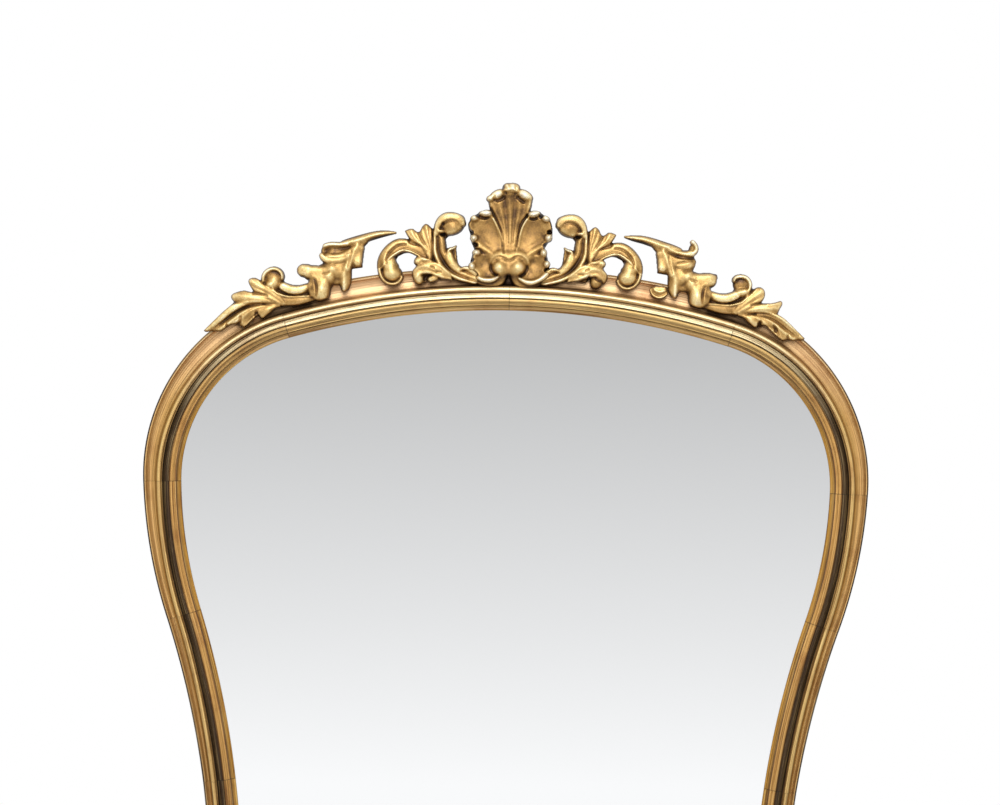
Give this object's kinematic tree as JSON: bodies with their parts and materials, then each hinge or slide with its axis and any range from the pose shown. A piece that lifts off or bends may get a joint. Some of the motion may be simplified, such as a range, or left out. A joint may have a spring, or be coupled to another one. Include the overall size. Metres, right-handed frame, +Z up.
{
  "type": "giltwood overmantel mirror",
  "caption": "Balloon-shaped giltwood overmantel mirror with moulded frame, plain plate, carved shell and scroll crest, panelled back and hinged hanging rings.",
  "frame": {"origin": "centre of the underside of the base rail", "axes": "+Z up, -Y out of the glass towards the viewer, +X across to the viewer's right"},
  "size_m": [1.2716, 0.086, 1.6053],
  "materials": {
    "gilt_moulding": "worn gold leaf over red bole on wood",
    "gilt_slip": "aged gold leaf on wood",
    "gilt_carving": "brighter gold leaf on carved wood",
    "silvered_glass": "plain silvered plate glass",
    "pine_board": "bare aged pine",
    "pine_brace": "bare aged pine",
    "beech_dowel": "bare beech",
    "iron_fixing": "dull dark iron",
    "brass_hanger": "tarnished brass"
  },
  "bodies": {
    "mirror": {"crown_left": "gilt_moulding", "shoulder_left": "gilt_moulding", "flank_left": "gilt_moulding", "waist_left": "gilt_moulding", "foot_left": "gilt_moulding", "crown_right": "gilt_moulding", "shoulder_right": "gilt_moulding", "flank_right": "gilt_moulding", "waist_right": "gilt_moulding", "foot_right": "gilt_moulding", "base_rail": "gilt_moulding", "slip_crown_left": "gilt_slip", "slip_shoulder_left": "gilt_slip", "slip_flank_left": "gilt_slip", "slip_waist_left": "gilt_slip", "slip_foot_left": "gilt_slip", "slip_crown_right": "gilt_slip", "slip_shoulder_right": "gilt_slip", "slip_flank_right": "gilt_slip", "slip_waist_right": "gilt_slip", "slip_foot_right": "gilt_slip", "slip_base_rail": "gilt_slip", "crest_shell": "gilt_carving", "crest_scroll_left": "gilt_carving", "crest_scroll_right": "gilt_carving", "crest_spray_left": "gilt_carving", "crest_spray_right": "gilt_carving", "backboard_1": "pine_board", "backboard_2": "pine_board", "backboard_3": "pine_board", "backboard_4": "pine_board", "backboard_5": "pine_board", "backboard_6": "pine_board", "backboard_7": "pine_board", "crest_backing_centre": "pine_brace", "crest_backing_left": "pine_brace", "crest_backing_right": "pine_brace", "crest_brace_centre": "pine_brace", "crest_brace_left": "pine_brace", "crest_brace_right": "pine_brace", "mirror_plate": "silvered_glass", "glue_blocks": "pine_brace", "joint_dowels": "beech_dowel", "backboard_nails": "iron_fixing", "brace_screws": "iron_fixing", "crest_pins": "iron_fixing", "hanger_screws": "iron_fixing", "hanger_strap_left": "brass_hanger", "hanger_strap_right": "brass_hanger"},
    "ring_left": {"hanger_ring_left": "brass_hanger"},
    "ring_right": {"hanger_ring_right": "brass_hanger"}
  },
  "joints": [
    {"name": "ring_left_turn", "type": "hinge", "parent": "mirror", "child": "ring_left", "pos_m": [-0.58395, 0.03085, 0.95411], "axis": [0, 0, 1], "range_deg": [0, 170]},
    {"name": "ring_right_turn", "type": "hinge", "parent": "mirror", "child": "ring_right", "pos_m": [0.58395, 0.03085, 0.95411], "axis": [0, 0, -1], "range_deg": [0, 170]}
  ]
}
